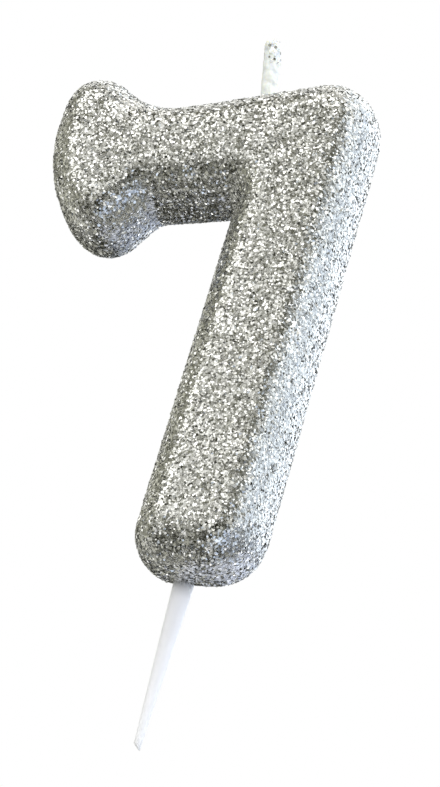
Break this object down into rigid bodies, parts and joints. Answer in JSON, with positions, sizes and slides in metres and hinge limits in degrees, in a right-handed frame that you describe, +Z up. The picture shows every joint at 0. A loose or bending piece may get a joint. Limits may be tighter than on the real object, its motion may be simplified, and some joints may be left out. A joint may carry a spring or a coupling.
{
  "type": "number birthday candle",
  "caption": "Moulded wax candle in the shape of the numeral 7, with a silver glitter coat, a waxed cotton wick and a white plastic pick that pushes into a cake.",
  "frame": {"origin": "where the pick's axis leaves the foot of the numeral, 3.3 mm behind the middle of the thickness", "axes": "+Z up along the upright numeral and the wick, +X along the bar towards its right end as read from the front, +Y through the thickness towards the back"},
  "size_m": [0.0423, 0.0142, 0.0974],
  "materials": {
    "wax": "paraffin wax, slightly translucent",
    "lacquer": "clear adhesive lacquer",
    "glitter": "loose silver glitter flakes, sparkling",
    "cotton": "braided cotton",
    "sleeve_wax": "thin paraffin wax, pale cream",
    "pick_plastic": "moulded white plastic, slightly translucent"
  },
  "bodies": {
    "root": {"wax_body": "wax", "lacquer_coat": "lacquer", "glitter_coat": "glitter", "wick": "cotton", "wick_wax": "sleeve_wax", "pick": "pick_plastic"}
  },
  "joints": []
}
